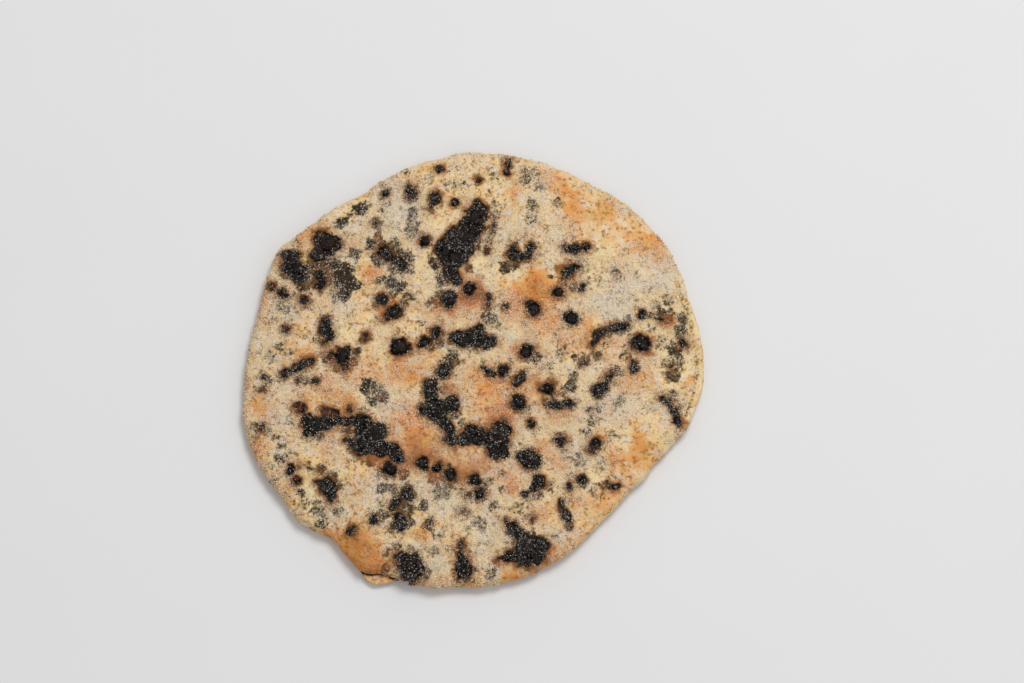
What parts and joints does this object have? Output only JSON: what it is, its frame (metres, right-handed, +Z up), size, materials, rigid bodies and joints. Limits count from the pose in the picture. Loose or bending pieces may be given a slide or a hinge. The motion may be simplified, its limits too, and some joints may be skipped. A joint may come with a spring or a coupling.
{
  "type": "large flat eccles cake",
  "caption": "Large flat round pastry with a currant filling, rolled thin so the fruit shows and bursts through, dusted with sugar; it lies on its flat base.",
  "frame": {"origin": "bottom centre of the bounding box, on the flat base the cake rests on", "axes": "+Z up out of the sugared top; +X along the longest extent; the folded tab of pastry is at the -X, -Y side"},
  "size_m": [0.16, 0.155, 0.0118],
  "materials": {
    "pastry": "baked pastry, dry and matt, pale cream with toasted golden patches",
    "fruit": "currants baked black, wrinkled and sticky",
    "sugar": "white caster sugar crystals"
  },
  "bodies": {
    "root": {"eccles_cake": "pastry"}
  },
  "joints": []
}
